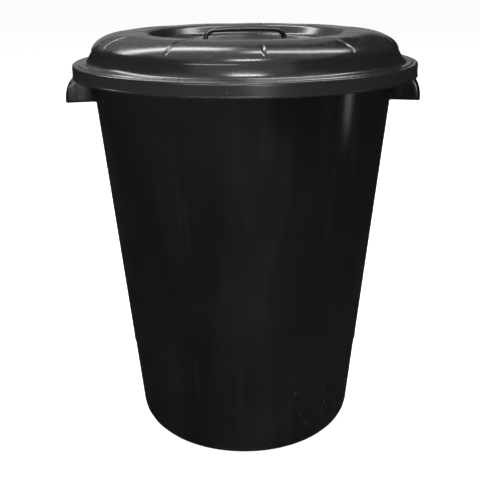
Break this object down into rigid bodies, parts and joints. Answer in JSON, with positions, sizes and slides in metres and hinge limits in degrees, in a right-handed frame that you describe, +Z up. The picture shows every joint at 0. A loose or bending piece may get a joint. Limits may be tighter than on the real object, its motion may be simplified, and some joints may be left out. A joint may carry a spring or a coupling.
{
  "type": "plastic drum with lid",
  "caption": "Round tapered black plastic drum with moulded side lug handles and a loose domed lid that lifts off by the grip bar in its sunken pan.",
  "frame": {"origin": "centre of the foot ring, on the plane that the drum stands on", "axes": "+Z up along the drum's axis; the side handles are on +X and -X; -Y is the front"},
  "size_m": [0.558, 0.5399, 0.6719],
  "materials": {
    "bin_plastic": "gloss black moulded polypropylene",
    "lid_plastic": "gloss black moulded polypropylene"
  },
  "bodies": {
    "bin": {"bin_floor": "bin_plastic", "bin_wall": "bin_plastic", "bin_rim": "bin_plastic", "rim_lip": "bin_plastic", "handle_left": "bin_plastic", "handle_right": "bin_plastic"},
    "lid": {"lid_skirt": "lid_plastic", "lid_ledge": "lid_plastic", "lid_dome": "lid_plastic", "pan_side": "lid_plastic", "pan_floor": "lid_plastic", "lid_grip": "lid_plastic"}
  },
  "joints": [
    {"name": "lid_lift", "type": "slide", "parent": "bin", "child": "lid", "axis": [0, 0, 1], "range_m": [0, 0.3]}
  ]
}
